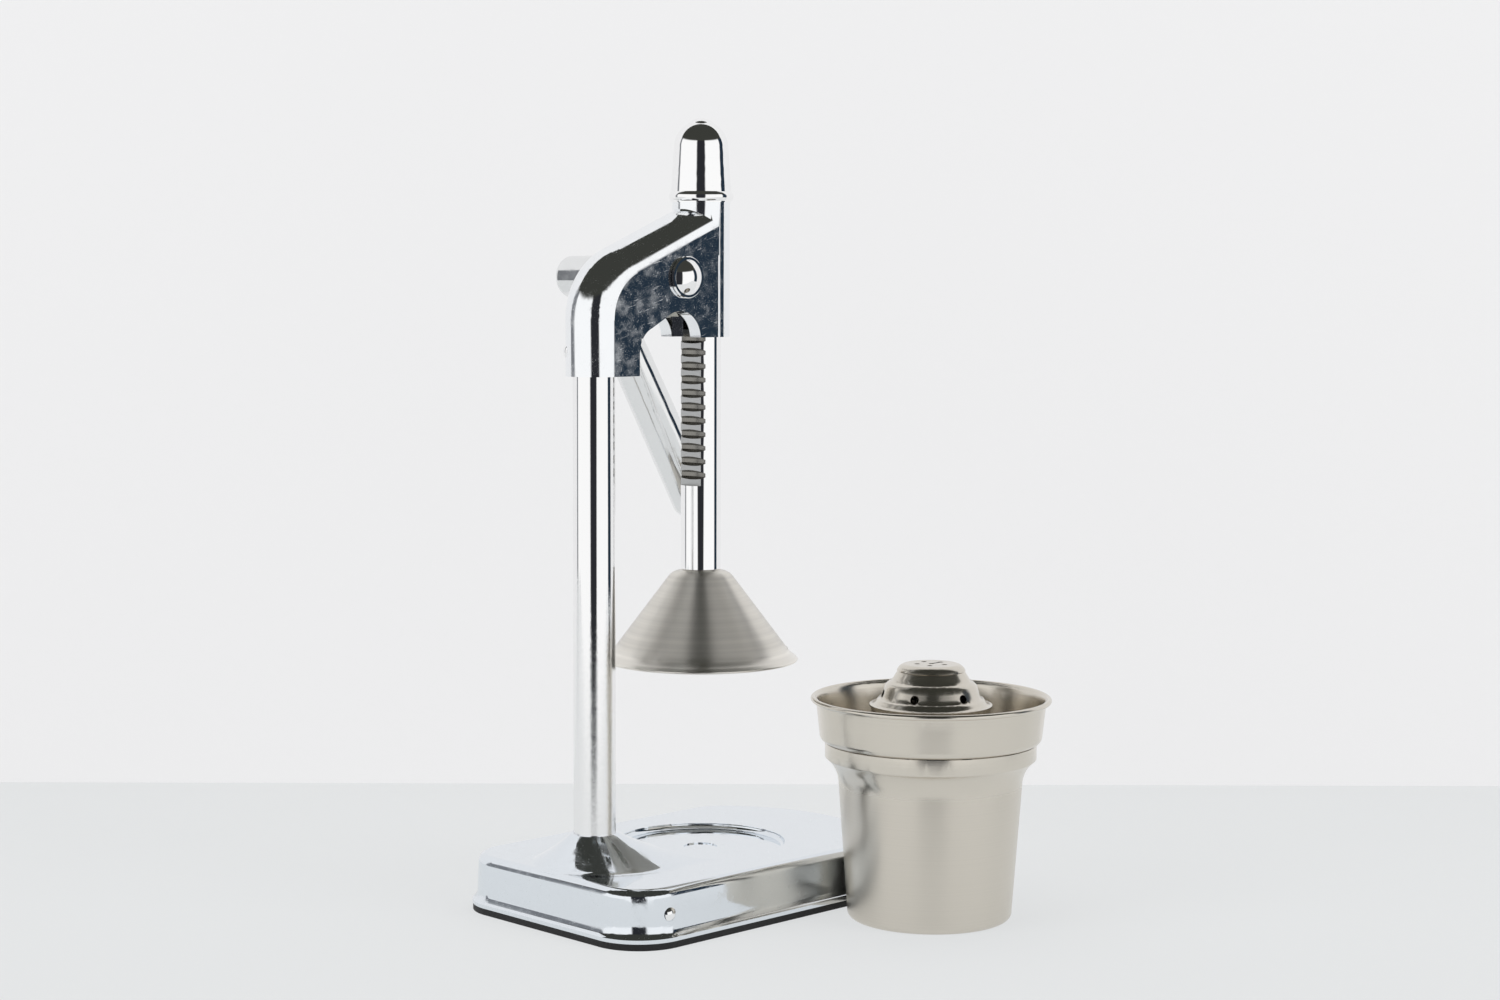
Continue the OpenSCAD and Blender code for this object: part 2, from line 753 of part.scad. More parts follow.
module thrust_washer() {
    color("#b5924a") translate([pinion_x, washer_y, pinion_z]) rotate([-90, 0, 0]) difference() {
        cylinder(r = 9, h = washer_h, $fn = fine);
        translate([0, 0, -1]) cylinder(r = shaft_r, h = 4, $fn = fine);
    }
}

// Places a piece in the lever's own frame: its z axis runs from the pinion axis along the lever
module along_lever() {
    translate([pinion_x, lever_y, pinion_z]) rotate([0, 180 - lever_lean, 0]) children();
}

module lever_hub() {
    color("#d3d6da") difference() {
        translate([pinion_x, hub_y, pinion_z]) rotate([-90, 0, 0]) difference() {
            rotate_extrude($fn = fine) {
                square([hub_r, hub_end - hub_y - hub_round]);
                square([hub_r - hub_round, hub_end - hub_y]);
                translate([hub_r - hub_round, hub_end - hub_y - hub_round])
                    circle(r = hub_round, $fn = fine);
            }
            translate([0, 0, -1]) cylinder(r = shaft_r, h = shaft_end - hub_y + 1, $fn = fine);
            translate([0, 0, pin_y - hub_y]) rotate([90, 0, 0])
                cylinder(r = pin_r, h = 40, center = true, $fn = 48);
        }
        along_lever() translate([0, 0, -2]) cylinder(r = stud_r, h = 20, $fn = fine);
    }
}

module hub_pin() {
    color("#8c8f94") translate([pinion_x, pin_y, pinion_z])
        cylinder(r = pin_r, h = 2 * hub_r - 0.6, center = true, $fn = 48);
}

module lever_stud() {
    color("#8c8f94") along_lever() {
        translate([0, 0, -2]) cylinder(r = stud_r, h = 30, $fn = fine);
        translate([0, 0, 14]) cylinder(r = handle_r - handle_wall - 0.1, h = 12, $fn = fine);
    }
}

module lever_handle() {
    wide = handle_end_r - handle_wall;
    color("#d3d6da") difference() {
        along_lever() difference() {
            translate([0, 0, handle_start])
                cylinder(r1 = handle_r, r2 = handle_end_r, h = handle_end - handle_start, $fn = fine);
            translate([0, 0, 26]) cylinder(r1 = handle_r - handle_wall, r2 = wide,
                                           h = handle_end - 25.9, $fn = fine);
            cylinder(r = handle_r - handle_wall - 0.1, h = 30, $fn = fine);
        }
        translate([pinion_x, 0, pinion_z]) rotate([-90, 0, 0])
            cylinder(r = hub_r, h = 100, $fn = fine);
    }
}

module lever_end_plug() {
    color("#c9ccd1") along_lever() translate([0, 0, handle_end]) {
        rotate_extrude($fn = fine) intersection() {
            union() {
                square([handle_end_r - end_round, end_round]);
                translate([handle_end_r - end_round, 0]) circle(r = end_round, $fn = fine);
            }
            square([20, 20]);
        }
        translate([0, 0, -10])
            cylinder(r = handle_end_r - handle_wall - 0.15, h = 10.5, $fn = fine);
    }
}

// Filled side view of the cup, thinned by a depth from the outside
module cup_outline(depth) {
    foot = cup_foot_r - depth;
    difference() {
        union() {
            polygon([[0, depth], [cup_foot_r - foot_round, depth], [foot, foot_round],
                     [flare_r - depth, flare_z], [0, flare_z]]);
            translate([cup_foot_r - foot_round, foot_round])
                circle(r = foot_round - depth, $fn = fine);
            translate([0, flare_z - 0.5]) square([flare_r - 1.2 - depth, 1]);
            translate([0, flare_z]) square([cup_mouth_r - depth, cup_h - flare_z]);
        }
        translate([flare_r + flare_arc, flare_z]) circle(r = flare_arc + depth, $fn = 2 * fine);
    }
}

module cup() {
    color("#b5b1aa") translate([cup_x, cup_y, 0]) rotate_extrude($fn = 2 * fine)
        difference() {
            cup_outline(0);
            cup_outline(sheet);
        }
}

// Filled side view of the strainer bowl over the cup's mouth, thinned by a depth
module bowl_outline(depth) {
    wall_r = bowl_floor_r + bowl_round;
    polygon([[0, depth], [bowl_floor_r, depth], [wall_r - depth, bowl_round],
             [bowl_waist_r - depth, strainer_h - 3.6], [bowl_waist_r + 0.5 - depth, strainer_h - 2],
             [rim_r - 2 * bead_r + 0.6 - depth, strainer_h - 0.8],
             [rim_r - 2 * bead_r + 0.6 - depth, strainer_h + 1], [0, strainer_h + 1]]);
    translate([bowl_floor_r, bowl_round]) circle(r = bowl_round - depth, $fn = fine);
}

module strainer_bowl() {
    color("#b5b1aa") translate([cup_x, cup_y, strainer_z]) difference() {
        rotate_extrude($fn = 2 * fine) difference() {
            union() {
                intersection() {
                    bowl_outline(0);
                    square([60, strainer_h - 0.8]);
                }
                translate([rim_r - bead_r, strainer_h - bead_r]) circle(r = bead_r, $fn = 48);
                // Step that drops into the cup's mouth
                translate([0, -1.6]) square([cup_mouth_r - sheet - 0.4, 3]);
            }
            bowl_outline(sheet);
            translate([0, -3]) square([collar_r - sheet, 30]);
            translate([0, -0.6]) square([cup_mouth_r - 2 * sheet - 0.4, 3]);
        }
        for (step = [0:drain_holes - 1])
            rotate([0, 0, (step + 0.5) * 360 / drain_holes]) translate([drain_r, 0, -5])
                cylinder(r = drain_hole_r, h = 10, $fn = 32);
    }
    // Raised collar that carries the reamer dome
    color("#b5b1aa") translate([cup_x, cup_y, strainer_z - 1.6]) difference() {
        cylinder(r = collar_r, h = tier3_h + 1.4, $fn = fine);
        translate([0, 0, -1]) cylinder(r = collar_r - sheet, h = 40, $fn = fine);
    }
}

// Filled side view of the stepped dome, thinned by a depth
module reamer_outline(depth) {
    crown = reamer_h - depth;
    shoulder = 4.5;
    polygon([[0, tier3_h - 0.2], [reamer_r - depth - 0.8, tier3_h - 0.2],
             [tier2_r + 0.9 - depth, tier2_h], [tier2_r - depth, tier2_h],
             [tier2_r - 2.2 - depth, tier1_h - 1.8], [tier1_r - depth, tier1_h],
             [tier1_r - 0.8 - depth, tier1_h], [crown_r + shoulder - 1 - depth, reamer_h - 2.6],
             [crown_r, crown], [0, crown]]);
    intersection() {
        translate([crown_r, reamer_h - shoulder]) circle(r = shoulder - depth, $fn = fine);
        translate([0, reamer_h - 3]) square([40, 4]);
    }
}

module reamer_dome() {
    color("#bdbab4") translate([cup_x, cup_y, strainer_z]) difference() {
        rotate_extrude($fn = 2 * fine) difference() {
            union() {
                reamer_outline(0);
                translate([0, tier3_h - 0.2]) square([reamer_r, 0.9]);
            }
            intersection() {
                reamer_outline(sheet);
                translate([0, tier3_h - 0.2]) square([40, 40]);
            }
        }
        for (step = [0:reamer_holes - 1])
            rotate([0, 0, (step + 0.37) * 360 / reamer_holes]) translate([16, 0, hole_h])
                rotate([0, 90, 0]) cylinder(r = hole_r, h = 14, $fn = 32);
        for (step = [0:crown_holes - 1])
            rotate([0, 0, step * 360 / crown_holes]) translate([6.5, 0, reamer_h - 4])
                cylinder(r = crown_hole_r, h = 8, $fn = 32);
        translate([0, 0, reamer_h - 4]) cylinder(r = crown_hole_r, h = 8, $fn = 32);
    }
}

base_shell();
base_edging();
base_rivets();
column_tube();
column_plug();
column_washer();
column_bolt();
head_casting();
collar_screw();
shaft_bushes();
dome_cap();
press_rod();
stop_washer();
stop_screw();
press_cone();
cone_washer();
cone_screw();
pinion();
pinion_shaft();
pinion_key();
cap_nut();
thrust_washer();
lever_hub();
hub_pin();
lever_stud();
lever_handle();
lever_end_plug();
cup();
strainer_bowl();
reamer_dome();
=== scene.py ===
# %% [markdown]
# # A lever press for citrus fruit, dressed over its working frame
#
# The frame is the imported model: every piece in its place, in metres, with its joints. This script
# gives it surfaces. Bright plate shows every flat facet of a meshed curve, so each piece that is
# seen is taken over here with smooth shading, and stands in for its plain solid.

# %% Frame
import json
from math import atan2, cos, pi, radians, sin

import bmesh
import bpy
from mathutils import Matrix, Vector


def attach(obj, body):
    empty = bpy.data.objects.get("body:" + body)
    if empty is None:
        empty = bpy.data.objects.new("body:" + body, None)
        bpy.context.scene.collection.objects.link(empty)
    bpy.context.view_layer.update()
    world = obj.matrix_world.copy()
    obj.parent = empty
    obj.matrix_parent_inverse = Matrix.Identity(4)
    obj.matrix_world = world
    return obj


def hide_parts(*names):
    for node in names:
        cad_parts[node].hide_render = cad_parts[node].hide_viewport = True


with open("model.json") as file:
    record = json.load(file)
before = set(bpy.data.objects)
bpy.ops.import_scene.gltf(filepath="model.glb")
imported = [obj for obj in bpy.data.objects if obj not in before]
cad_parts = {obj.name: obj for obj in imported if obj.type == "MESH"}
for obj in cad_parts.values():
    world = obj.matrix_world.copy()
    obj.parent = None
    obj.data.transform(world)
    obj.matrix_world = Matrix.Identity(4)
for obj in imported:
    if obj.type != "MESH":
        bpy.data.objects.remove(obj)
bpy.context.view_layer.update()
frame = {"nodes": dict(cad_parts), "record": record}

MM = 0.001
print("nodes in the frame:", len(frame["nodes"]))

# %% [markdown]
# The camera comes first. It looks down a little at a corner of the base, from a long way off for a
# piece this small, so the column and the rod stay nearly upright and parallel.

# %% Camera
CAMERA_PLACE = Vector((-839.2, -885.2, 291.6)) * MM
YAW, PITCH, ROLL = 0.7775, 0.0857, 0.0027
LENS_MM, SENSOR_MM = 63.161, 36
NEAREST_SEEN = 50 * MM

level = Vector((sin(YAW), cos(YAW), 0))
side = Vector((cos(YAW), -sin(YAW), 0))
ahead = level * cos(PITCH) - Vector((0, 0, sin(PITCH)))
above = Vector((0, 0, cos(PITCH))) + level * sin(PITCH)
right = side * cos(ROLL) + above * sin(ROLL)
up = above * cos(ROLL) - side * sin(ROLL)

camera_data = bpy.data.cameras.new("studio_camera")
camera_data.lens = LENS_MM
camera_data.sensor_width = SENSOR_MM
camera_data.clip_start = NEAREST_SEEN
camera = bpy.data.objects.new("studio_camera", camera_data)
bpy.context.scene.collection.objects.link(camera)
turned = Matrix((right, up, -ahead)).transposed().to_4x4()
camera.matrix_world = Matrix.Translation(CAMERA_PLACE) @ turned
bpy.context.scene.camera = camera
bpy.context.scene.view_settings.view_transform = "Standard"
print("camera at", tuple(round(v, 3) for v in CAMERA_PLACE))

# %% [markdown]
# Colours are written the way a paint chart gives them, as sRGB hex, and one function turns them
# into the linear numbers that a shader works with. One more function adds a node, sets its values
# and makes its links, so that each finish below reads as a short recipe.

# %% Colour and node helpers
def paint(code):
    """Linear colour of an sRGB hex code."""
    parts = [int(code[i:i + 2], 16) / 255 for i in (1, 3, 5)]
    return tuple(c / 12.92 if c <= 0.04045 else ((c + 0.055) / 1.055) ** 2.4 for c in parts) + (1,)


def add(tree, kind, settings=None, **inputs):
    """Adds a node with its properties, and its inputs by name or, as i0 and i1, by number."""
    node = tree.nodes.new(kind)
    for key, value in (settings or {}).items():
        setattr(node, key, value)
    for key, value in inputs.items():
        name = key.replace("_", " ")
        socket = node.inputs[int(key[1:])] if key[1:].isdigit() else node.inputs[name]
        if isinstance(value, bpy.types.NodeSocket):
            tree.links.new(value, socket)
        else:
            socket.default_value = value
    return node


def new_finish(name):
    """An empty material, ready for a shader."""
    finish = bpy.data.materials.new(name)
    finish.use_nodes = True
    finish.node_tree.nodes.clear()
    return finish, finish.node_tree


print("mid grey is", round(paint("#808080")[0], 3))

# %% [markdown]
# The stage is a pale table that runs back to a pale board, both plain. Bright metal is nothing but
# its surroundings, so where they end matters: past the right edge of the table a polished cheek
# mirrors the dark of the room, and over the low board a curved back mirrors the ceiling. The eye
# and the metal see a colour that glows by itself, so that the lamps only add the shadow.

# %% Table and wall
TABLE_DEPTH, WALL_HEIGHT = 1.49, 1.0
TO_LEFT, TO_RIGHT, TABLE_RUN = 1.4, 1.05, 0.66
GLOW = 0.83
SHADOW_CATCH = "#6a6a6a"
FLOOR_LAP = 1 * MM


def stage_paint(name, shown, lit):
    """A plain surface. The eye and the metal see shown, and light bounces off lit."""
    finish, tree = new_finish(name)
    path = add(tree, "ShaderNodeLightPath")
    seen = add(tree, "ShaderNodeMath", {"operation": "MAXIMUM"},
               i0=path.outputs["Is Camera Ray"], i1=path.outputs["Is Glossy Ray"])
    matt = add(tree, "ShaderNodeBsdfDiffuse", Color=paint(lit))
    glow = add(tree, "ShaderNodeEmission", Color=paint(shown), Strength=GLOW)
    shade = add(tree, "ShaderNodeBsdfDiffuse", Color=paint(SHADOW_CATCH))
    both = add(tree, "ShaderNodeAddShader", i0=glow.outputs[0], i1=shade.outputs[0])
    mix = add(tree, "ShaderNodeMixShader", i0=seen.outputs[0], i1=matt.outputs[0],
              i2=both.outputs[0])
    add(tree, "ShaderNodeOutputMaterial", Surface=mix.outputs[0])
    return finish


def stage_sheet(name, corners, finish):
    """One flat sheet of the stage."""
    shape = bmesh.new()
    shape.faces.new([shape.verts.new(c) for c in corners])
    mesh = bpy.data.meshes.new(name)
    shape.to_mesh(mesh)
    shape.free()
    mesh.materials.append(finish)
    sheet = bpy.data.objects.new(name, mesh)
    bpy.context.scene.collection.objects.link(sheet)
    return sheet


back = Vector((CAMERA_PLACE.x, CAMERA_PLACE.y, 0)) + level * TABLE_DEPTH
near = back - level * TABLE_RUN
left_end, right_end = side * -TO_LEFT, side * TO_RIGHT
table = stage_sheet("table", [near + left_end, near + right_end, back + right_end, back + left_end],
                    stage_paint("painted_table", "#e1e3e4", "#d6d7d8"))
tall = Vector((0, 0, WALL_HEIGHT))
drop = Vector((0, 0, -FLOOR_LAP))
wall = stage_sheet("wall", [back + left_end + drop, back + right_end + drop,
                            back + right_end + tall, back + left_end + tall],
                   stage_paint("painted_wall", "#efeff0", "#e8e8e8"))
print("stage:", table.name, wall.name)

# %% [markdown]
# The world colours what the metal mirrors. Its pattern only follows the direction of a ray. Round
# the horizon it runs from pale walls behind, past two light panels, to the dark upright gap that is
# left between them, and a dull ceiling closes it above.

# %% Tones of the room
CAMERA_HEADING = atan2(-level.y, -level.x)
PALE, PANEL, SHADE, GAP, DUSK = "#dfe1e3", "#ffffff", "#7c7e82", "#2b2c30", "#25323f"
# Headings in degrees from the camera, to the right as positive, where each tone starts and ends
ROUND_THE_ROOM = [(-180, PALE), (-103, PALE), (-101, SHADE), (-94, SHADE), (-91, PANEL),
                  (-19, PANEL), (-15, GAP), (15, GAP), (19, PANEL), (83.5, PANEL), (85.5, DUSK),
                  (104, DUSK), (109, PALE), (180, PALE)]
CEILING = "#3b3c38"
# The rise of a ray: 0 is level and 1 is straight up
CEILING_STARTS, CEILING_FULL = 0.40, 0.50
print("room tones:", len(ROUND_THE_ROOM))

# %% World
world = bpy.data.worlds.new("studio_room")
bpy.context.scene.world = world
world.use_nodes = True
room = world.node_tree
room.nodes.clear()
where = add(room, "ShaderNodeTexCoord")
turned_room = add(room, "ShaderNodeVectorRotate", {"rotation_type": "Z_AXIS"},
                  Vector=where.outputs["Generated"], Angle=-CAMERA_HEADING)
split = add(room, "ShaderNodeSeparateXYZ", Vector=turned_room.outputs[0])
heading = add(room, "ShaderNodeMath", {"operation": "ARCTAN2"}, i0=split.outputs[1],
              i1=split.outputs[0])
share = add(room, "ShaderNodeMapRange", Value=heading.outputs[0], From_Min=-pi, From_Max=pi)
tones = add(room, "ShaderNodeValToRGB", Fac=share.outputs[0])
stops = tones.color_ramp.elements
while len(stops) > 1:
    stops.remove(stops[-1])
for n, (at, tone) in enumerate(ROUND_THE_ROOM):
    place = at / 360 + 0.5
    stop = stops[0] if n == 0 else stops.new(place)
    stop.position, stop.color = place, paint(tone)
overhead = add(room, "ShaderNodeMapRange", {"interpolation_type": "SMOOTHSTEP"},
               Value=split.outputs[2], From_Min=CEILING_STARTS, From_Max=CEILING_FULL)
walls = add(room, "ShaderNodeMix", {"data_type": "RGBA"}, i0=overhead.outputs[0],
            i6=tones.outputs[0], i7=paint(CEILING))
air = add(room, "ShaderNodeBackground", Color=walls.outputs[2], Strength=1.0)
add(room, "ShaderNodeOutputWorld", Surface=air.outputs[0])
print("stops in the ramp:", len(stops))

# %% [markdown]
# Three soft lamps add the shading and the faint shadow. Metal doesn't mirror them, so they can
# hang wherever the light should come from without leaving squares in the plate.

# %% Lamps
def lamp(name, place, aim, wide, high, watts):
    """A softbox that no metal mirrors."""
    data = bpy.data.lights.new(name, "AREA")
    data.shape, data.size, data.size_y, data.energy = "RECTANGLE", wide, high, watts
    thing = bpy.data.objects.new(name, data)
    bpy.context.scene.collection.objects.link(thing)
    thing.location = place
    thing.rotation_euler = (Vector(aim) - Vector(place)).to_track_quat("-Z", "Y").to_euler()
    thing.visible_glossy = False


middle = Vector((0, 0, 0.15))
raised = middle + Vector((0, 0, 0.9))
overhead_place = middle + Vector((0, 0, 1.5))
lamp("left_softbox", raised - level * 0.9 - side * 1.3, middle, 0.9, 1.2, 12)
lamp("right_softbox", raised - level * 0.7 + side * 1.4, middle, 0.9, 1.2, 12)
lamp("top_softbox", overhead_place, middle, 1.6, 1.6, 14)

# %% [markdown]
# ## Finishes
# Chrome plate is a thin bright layer over copper and nickel: almost no roughness, a clear white
# colour, and very faint waves from the polishing wheel under it. The lever is handled more than
# the rest, so its plate is a little duller.

# %% Bright chrome
def plate(name, code, rough, wave_mm, wave_depth_mm):
    """Bright plate: a metal with slow waves in its surface and a light haze of handling."""
    finish, tree = new_finish(name)
    coords = add(tree, "ShaderNodeTexCoord").outputs["Object"]
    waves = add(tree, "ShaderNodeTexNoise", Vector=coords, Scale=1 / (wave_mm * MM), Detail=1.0)
    bump = add(tree, "ShaderNodeBump", Height=waves.outputs[0], Distance=wave_depth_mm * MM)
    haze = add(tree, "ShaderNodeTexNoise", Vector=coords, Scale=1 / (6 * MM), Detail=6.0)
    rough_map = add(tree, "ShaderNodeMapRange", Value=haze.outputs[0], From_Min=0.4, From_Max=0.8,
                    To_Min=rough, To_Max=rough * 3)
    shader = add(tree, "ShaderNodeBsdfPrincipled", Base_Color=paint(code), Metallic=1.0,
                 Roughness=rough_map.outputs[0], Normal=bump.outputs[0])
    add(tree, "ShaderNodeOutputMaterial", Surface=shader.outputs[0])
    return finish


chrome = plate("bright_chrome", "#fafafa", 0.03, 16, 0.008)
lever_chrome = plate("chrome_on_lever", "#eceded", 0.06, 12, 0.01)
print("finishes:", chrome.name, lever_chrome.name)

# %% [markdown]
# The column is plated over drawn tube. High up it is clean, but low down, where juice and damp
# hands reach it, the plate is mottled: a fine grain breaks up the reflections and dulls them.

# %% Chrome on the column
MOTTLE_TOP, MOTTLE_FULL = 165 * MM, 100 * MM
MOTTLED_ROUGH = 0.26


def mottled_tube(name, code, rough, grain_mm, grain_depth_mm):
    """Plate whose grain grows from nothing at one height to full at a lower one."""
    finish, tree = new_finish(name)
    coords = add(tree, "ShaderNodeTexCoord").outputs["Object"]
    height = add(tree, "ShaderNodeSeparateXYZ", Vector=coords).outputs[2]
    low_down = add(tree, "ShaderNodeMapRange", {"interpolation_type": "SMOOTHSTEP"}, Value=height,
                   From_Min=MOTTLE_FULL, From_Max=MOTTLE_TOP, To_Min=1.0, To_Max=0.06)
    grain = add(tree, "ShaderNodeTexNoise", Vector=coords, Scale=1 / (grain_mm * MM), Detail=5.0,
                Roughness=0.65)
    depth = add(tree, "ShaderNodeMath", {"operation": "MULTIPLY"}, i0=low_down.outputs[0],
                i1=grain_depth_mm * MM)
    bump = add(tree, "ShaderNodeBump", Height=grain.outputs[0], Distance=depth.outputs[0])
    dull = add(tree, "ShaderNodeMath", {"operation": "MULTIPLY"}, i0=low_down.outputs[0],
               i1=grain.outputs[0])
    rough_map = add(tree, "ShaderNodeMapRange", Value=dull.outputs[0], From_Min=0.0, From_Max=0.7,
                    To_Min=rough, To_Max=MOTTLED_ROUGH)
    shader = add(tree, "ShaderNodeBsdfPrincipled", Base_Color=paint(code), Metallic=1.0,
                 Roughness=rough_map.outputs[0], Normal=bump.outputs[0])
    add(tree, "ShaderNodeOutputMaterial", Surface=shader.outputs[0])
    return finish


tube_chrome = mottled_tube("mottled_chrome_tube", "#f8f8f8", 0.03, 1.6, 0.09)
print("finish:", tube_chrome.name)

# %% [markdown]
# The castings are aluminium alloy, buffed by hand and plated. The buffing leaves broad low waves,
# and years of wiping leave a cloudy haze and fine stray scratches that only show on the dark side.
# Each family of scratches is a noise drawn out long in one direction, of which only the crests are
# kept. The sides of the base also roll over a little towards the top, where the buffing wheel
# lingers.

# %% Plated casting
SCRATCH_TURNS = [(0.3, 0.5, 0.2), (-0.9, 1.4, 0.9), (1.2, -0.8, 1.9), (1.6, 0.4, -0.6)]
SCRATCH_MM, SCRATCH_STRETCH, SCRATCH_ROUGH = 0.45, 30, 0.22


def buffed_plate(name, code, rough, wave_mm, wave_depth_mm, roll=None):
    """Bright plate on a casting. roll is how fast its sides roll over, and from what height."""
    finish, tree = new_finish(name)
    coords = add(tree, "ShaderNodeTexCoord").outputs["Object"]
    waves = add(tree, "ShaderNodeTexNoise", Vector=coords, Scale=1 / (wave_mm * MM), Detail=1.0)
    broad = add(tree, "ShaderNodeBump", Height=waves.outputs[0], Distance=wave_depth_mm * MM)
    if roll:
        height = add(tree, "ShaderNodeSeparateXYZ", Vector=coords).outputs[2]
        over = add(tree, "ShaderNodeMath", {"operation": "SUBTRACT", "use_clamp": True}, i0=height,
                   i1=roll[1])
        squared = add(tree, "ShaderNodeMath", {"operation": "MULTIPLY"}, i0=over.outputs[0],
                      i1=over.outputs[0])
        broad = add(tree, "ShaderNodeBump", {"invert": True}, Height=squared.outputs[0],
                    Distance=roll[0], Normal=broad.outputs[0])
    marks = None
    for turn in SCRATCH_TURNS:
        drawn = add(tree, "ShaderNodeMapping", {"vector_type": "TEXTURE"}, Vector=coords,
                    Rotation=turn, Scale=(1, 1, SCRATCH_STRETCH))
        lines = add(tree, "ShaderNodeTexNoise", Vector=drawn.outputs[0],
                    Scale=1 / (SCRATCH_MM * MM), Detail=2.0)
        crest = add(tree, "ShaderNodeMapRange", Value=lines.outputs[0], From_Min=0.67,
                    From_Max=0.74)
        marks = crest if marks is None else add(tree, "ShaderNodeMath", {"operation": "MAXIMUM"},
                                                i0=marks.outputs[0], i1=crest.outputs[0])
    haze = add(tree, "ShaderNodeTexNoise", Vector=coords, Scale=1 / (5 * MM), Detail=5.0)
    clean = add(tree, "ShaderNodeMapRange", Value=haze.outputs[0], From_Min=0.4, From_Max=0.75,
                To_Min=rough, To_Max=rough * 7)
    rough_map = add(tree, "ShaderNodeMath", {"operation": "MULTIPLY_ADD"}, i0=marks.outputs[0],
                    i1=SCRATCH_ROUGH, i2=clean.outputs[0])
    shader = add(tree, "ShaderNodeBsdfPrincipled", Base_Color=paint(code), Metallic=1.0,
                 Roughness=rough_map.outputs[0], Normal=broad.outputs[0])
    add(tree, "ShaderNodeOutputMaterial", Surface=shader.outputs[0])
    return finish


head_plate = buffed_plate("plated_head_casting", "#f6f8fa", 0.025, 30, 0.09)
base_plate = buffed_plate("plated_base_casting", "#eaeff4", 0.025, 34, 0.13, (2.6, 0.012))
print("finishes:", head_plate.name, base_plate.name)

# %% [markdown]
# The cone, cup and strainer are spun stainless sheet. Spinning and a fine belt leave lines that run
# round the axis, and the satin between them spreads a reflection into soft upright bands. The metal
# is a little warm. The lines are too fine to show at their real spacing, so they are drawn about a
# millimetre apart. Those of the cup are finer and shallower, and above its neck it is glossier. The
# lip of the cone is glossier than its wall.

# %% Spun stainless
def spun(name, code, rough, turn, swing, line_mm, depth_mm, tint_share, axis, drawn_out):
    """Satin sheet with fine lines round an upright axis. rough is for below and above the turn."""
    finish, tree = new_finish(name)
    coords = add(tree, "ShaderNodeTexCoord").outputs["Object"]
    centred = add(tree, "ShaderNodeMapping", Vector=coords,
                  Location=(-axis[0] * MM, -axis[1] * MM, 0))
    parts = add(tree, "ShaderNodeSeparateXYZ", Vector=centred.outputs[0])
    flat = add(tree, "ShaderNodeCombineXYZ", X=parts.outputs[0], Y=parts.outputs[1])
    radius = add(tree, "ShaderNodeVectorMath", {"operation": "LENGTH"}, i0=flat.outputs[0])
    along = add(tree, "ShaderNodeMath", {"operation": "MULTIPLY_ADD"}, i0=radius.outputs["Value"],
                i1=0.6, i2=parts.outputs[2])
    lines = add(tree, "ShaderNodeTexNoise", {"noise_dimensions": "1D"}, W=along.outputs[0],
                Scale=1 / (line_mm * MM), Detail=3.0)
    cloud = add(tree, "ShaderNodeTexNoise", Vector=coords, Scale=1 / (22 * MM), Detail=2.0)
    bump = add(tree, "ShaderNodeBump", Height=lines.outputs[0], Distance=depth_mm * MM)
    base = add(tree, "ShaderNodeMapRange", {"interpolation_type": "SMOOTHSTEP"},
               Value=parts.outputs[2], From_Min=turn[0], From_Max=turn[1], To_Min=rough[0],
               To_Max=rough[1])
    rough_map = add(tree, "ShaderNodeMath", {"operation": "MULTIPLY_ADD"}, i0=cloud.outputs[0],
                    i1=swing, i2=base.outputs[0])
    darker = tuple(c * (1 - tint_share) for c in paint(code)[:3]) + (1,)
    tint = add(tree, "ShaderNodeMix", {"data_type": "RGBA"}, i0=lines.outputs[0],
               i6=paint(code), i7=darker)
    normal = add(tree, "ShaderNodeNewGeometry").outputs["Normal"]
    round_the_axis = add(tree, "ShaderNodeVectorMath", {"operation": "CROSS_PRODUCT"},
                         i0=(0, 0, 1), i1=normal)
    shader = add(tree, "ShaderNodeBsdfPrincipled", Base_Color=tint.outputs[2], Metallic=1.0,
                 Roughness=rough_map.outputs[0], Normal=bump.outputs[0], Anisotropic=drawn_out,
                 Anisotropic_Rotation=0.25, Tangent=round_the_axis.outputs[0])
    add(tree, "ShaderNodeOutputMaterial", Surface=shader.outputs[0])
    return finish


CUP_NECK, CONE_LIP = (0.058, 0.066), (0.115, 0.121)
CUP_AXIS = (47.6, -101.5)
cone_sheet = spun("spun_stainless_cone", "#fbf7ef", (0.3, 0.46), CONE_LIP, 0.03, 1.1, 0.02, 0.2,
                  (0, 0), 0.95)
cup_sheet = spun("satin_stainless_cup", "#ddd7cc", (0.29, 0.2), CUP_NECK, 0.04, 0.8, 0.003, 0.05,
                 CUP_AXIS, 0.4)
print("finishes:", cone_sheet.name, cup_sheet.name)

# %% [markdown]
# Small and hidden steel parts are plain machined steel, the tooth tips are ground dull, the bushes
# are sintered bronze, and the edging under the casting is black rubber: no metal, a high roughness
# and a faint moulded grain.

# %% Steel, bronze and rubber
def plain(name, code, metal, rough, grain_mm, depth_mm):
    """A plain surface with a fine grain."""
    finish, tree = new_finish(name)
    coords = add(tree, "ShaderNodeTexCoord").outputs["Object"]
    grain = add(tree, "ShaderNodeTexNoise", Vector=coords, Scale=1 / (grain_mm * MM), Detail=4.0)
    bump = add(tree, "ShaderNodeBump", Height=grain.outputs[0], Distance=depth_mm * MM)
    rough_map = add(tree, "ShaderNodeMapRange", Value=grain.outputs[0], From_Min=0.3,
                    From_Max=0.7, To_Min=rough - 0.08, To_Max=rough + 0.08)
    shader = add(tree, "ShaderNodeBsdfPrincipled", Base_Color=paint(code), Metallic=metal,
                 Roughness=rough_map.outputs[0], Normal=bump.outputs[0])
    add(tree, "ShaderNodeOutputMaterial", Surface=shader.outputs[0])
    return finish


